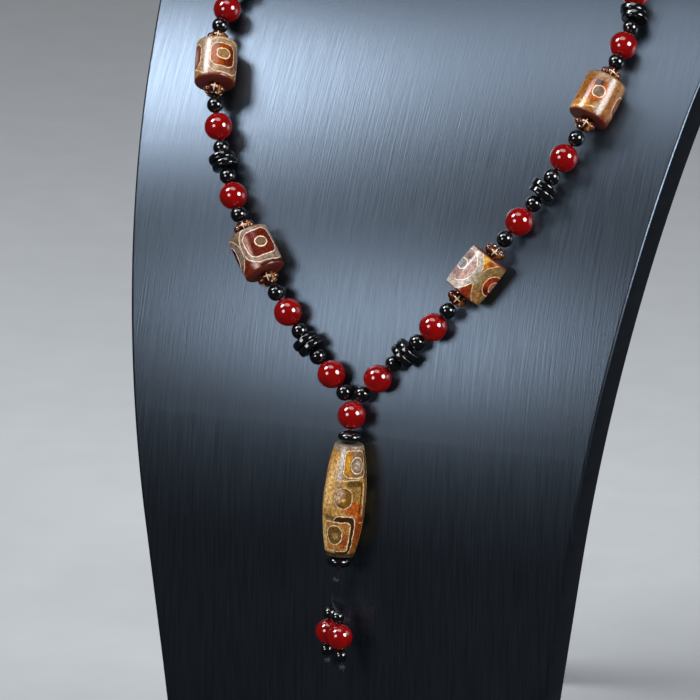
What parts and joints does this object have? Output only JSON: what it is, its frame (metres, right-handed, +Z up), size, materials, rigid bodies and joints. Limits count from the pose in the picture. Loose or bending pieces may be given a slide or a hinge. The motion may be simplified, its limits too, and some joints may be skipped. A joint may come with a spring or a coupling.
{
  "type": "dzi bead necklace on a neck bust",
  "caption": "Closed strand of red agates, black beads, disc and flower spacers and etched barrel dzi, with a long dzi drop and a tassel, worn by a plain dark neck bust.",
  "frame": {"origin": "middle of the bounding box at the foot of the bust, on the surface it stands on", "axes": "+Z up, -Y the way the bust faces, +X the side to the right of the picture"},
  "size_m": [0.211, 0.1852, 0.339],
  "materials": {
    "bust_cover": "satin leatherette with fine upright brushed grain",
    "strut_cover": "satin leatherette",
    "cord": "twisted dark thread",
    "red_agate": "polished, translucent deep red",
    "black_onyx": "polished black",
    "flower_agate": "polished brown with pale etched lines",
    "barrel_agate": "polished banded agate with etched eyes",
    "long_agate": "polished ochre agate with etched lines"
  },
  "bodies": {
    "root": {"bust_board": "bust_cover", "bust_strut": "strut_cover", "thread": "cord", "tassel_thread": "cord", "knots": "cord", "long_dzi": "long_agate", "centre_red": "red_agate", "rondelle_upper": "black_onyx", "rondelle_lower": "black_onyx", "tassel_red_left": "red_agate", "tassel_red_right": "red_agate", "tassel_black": "black_onyx", "black_left": "black_onyx", "black_right": "black_onyx", "discs_left": "black_onyx", "discs_right": "black_onyx", "flowers_left": "flower_agate", "flowers_right": "flower_agate", "dzi_left_1": "barrel_agate", "dzi_left_2": "barrel_agate", "dzi_left_3": "barrel_agate", "dzi_left_4": "barrel_agate", "dzi_right_1": "barrel_agate", "dzi_right_2": "barrel_agate", "dzi_right_3": "barrel_agate", "dzi_right_4": "barrel_agate", "red_left_1": "red_agate", "red_left_2": "red_agate", "red_left_3": "red_agate", "red_left_4": "red_agate", "red_left_5": "red_agate", "red_left_6": "red_agate", "red_left_7": "red_agate", "red_left_8": "red_agate", "red_left_9": "red_agate", "red_right_1": "red_agate", "red_right_2": "red_agate", "red_right_3": "red_agate", "red_right_4": "red_agate", "red_right_5": "red_agate", "red_right_6": "red_agate", "red_right_7": "red_agate", "red_right_8": "red_agate", "red_right_9": "red_agate"}
  },
  "joints": []
}
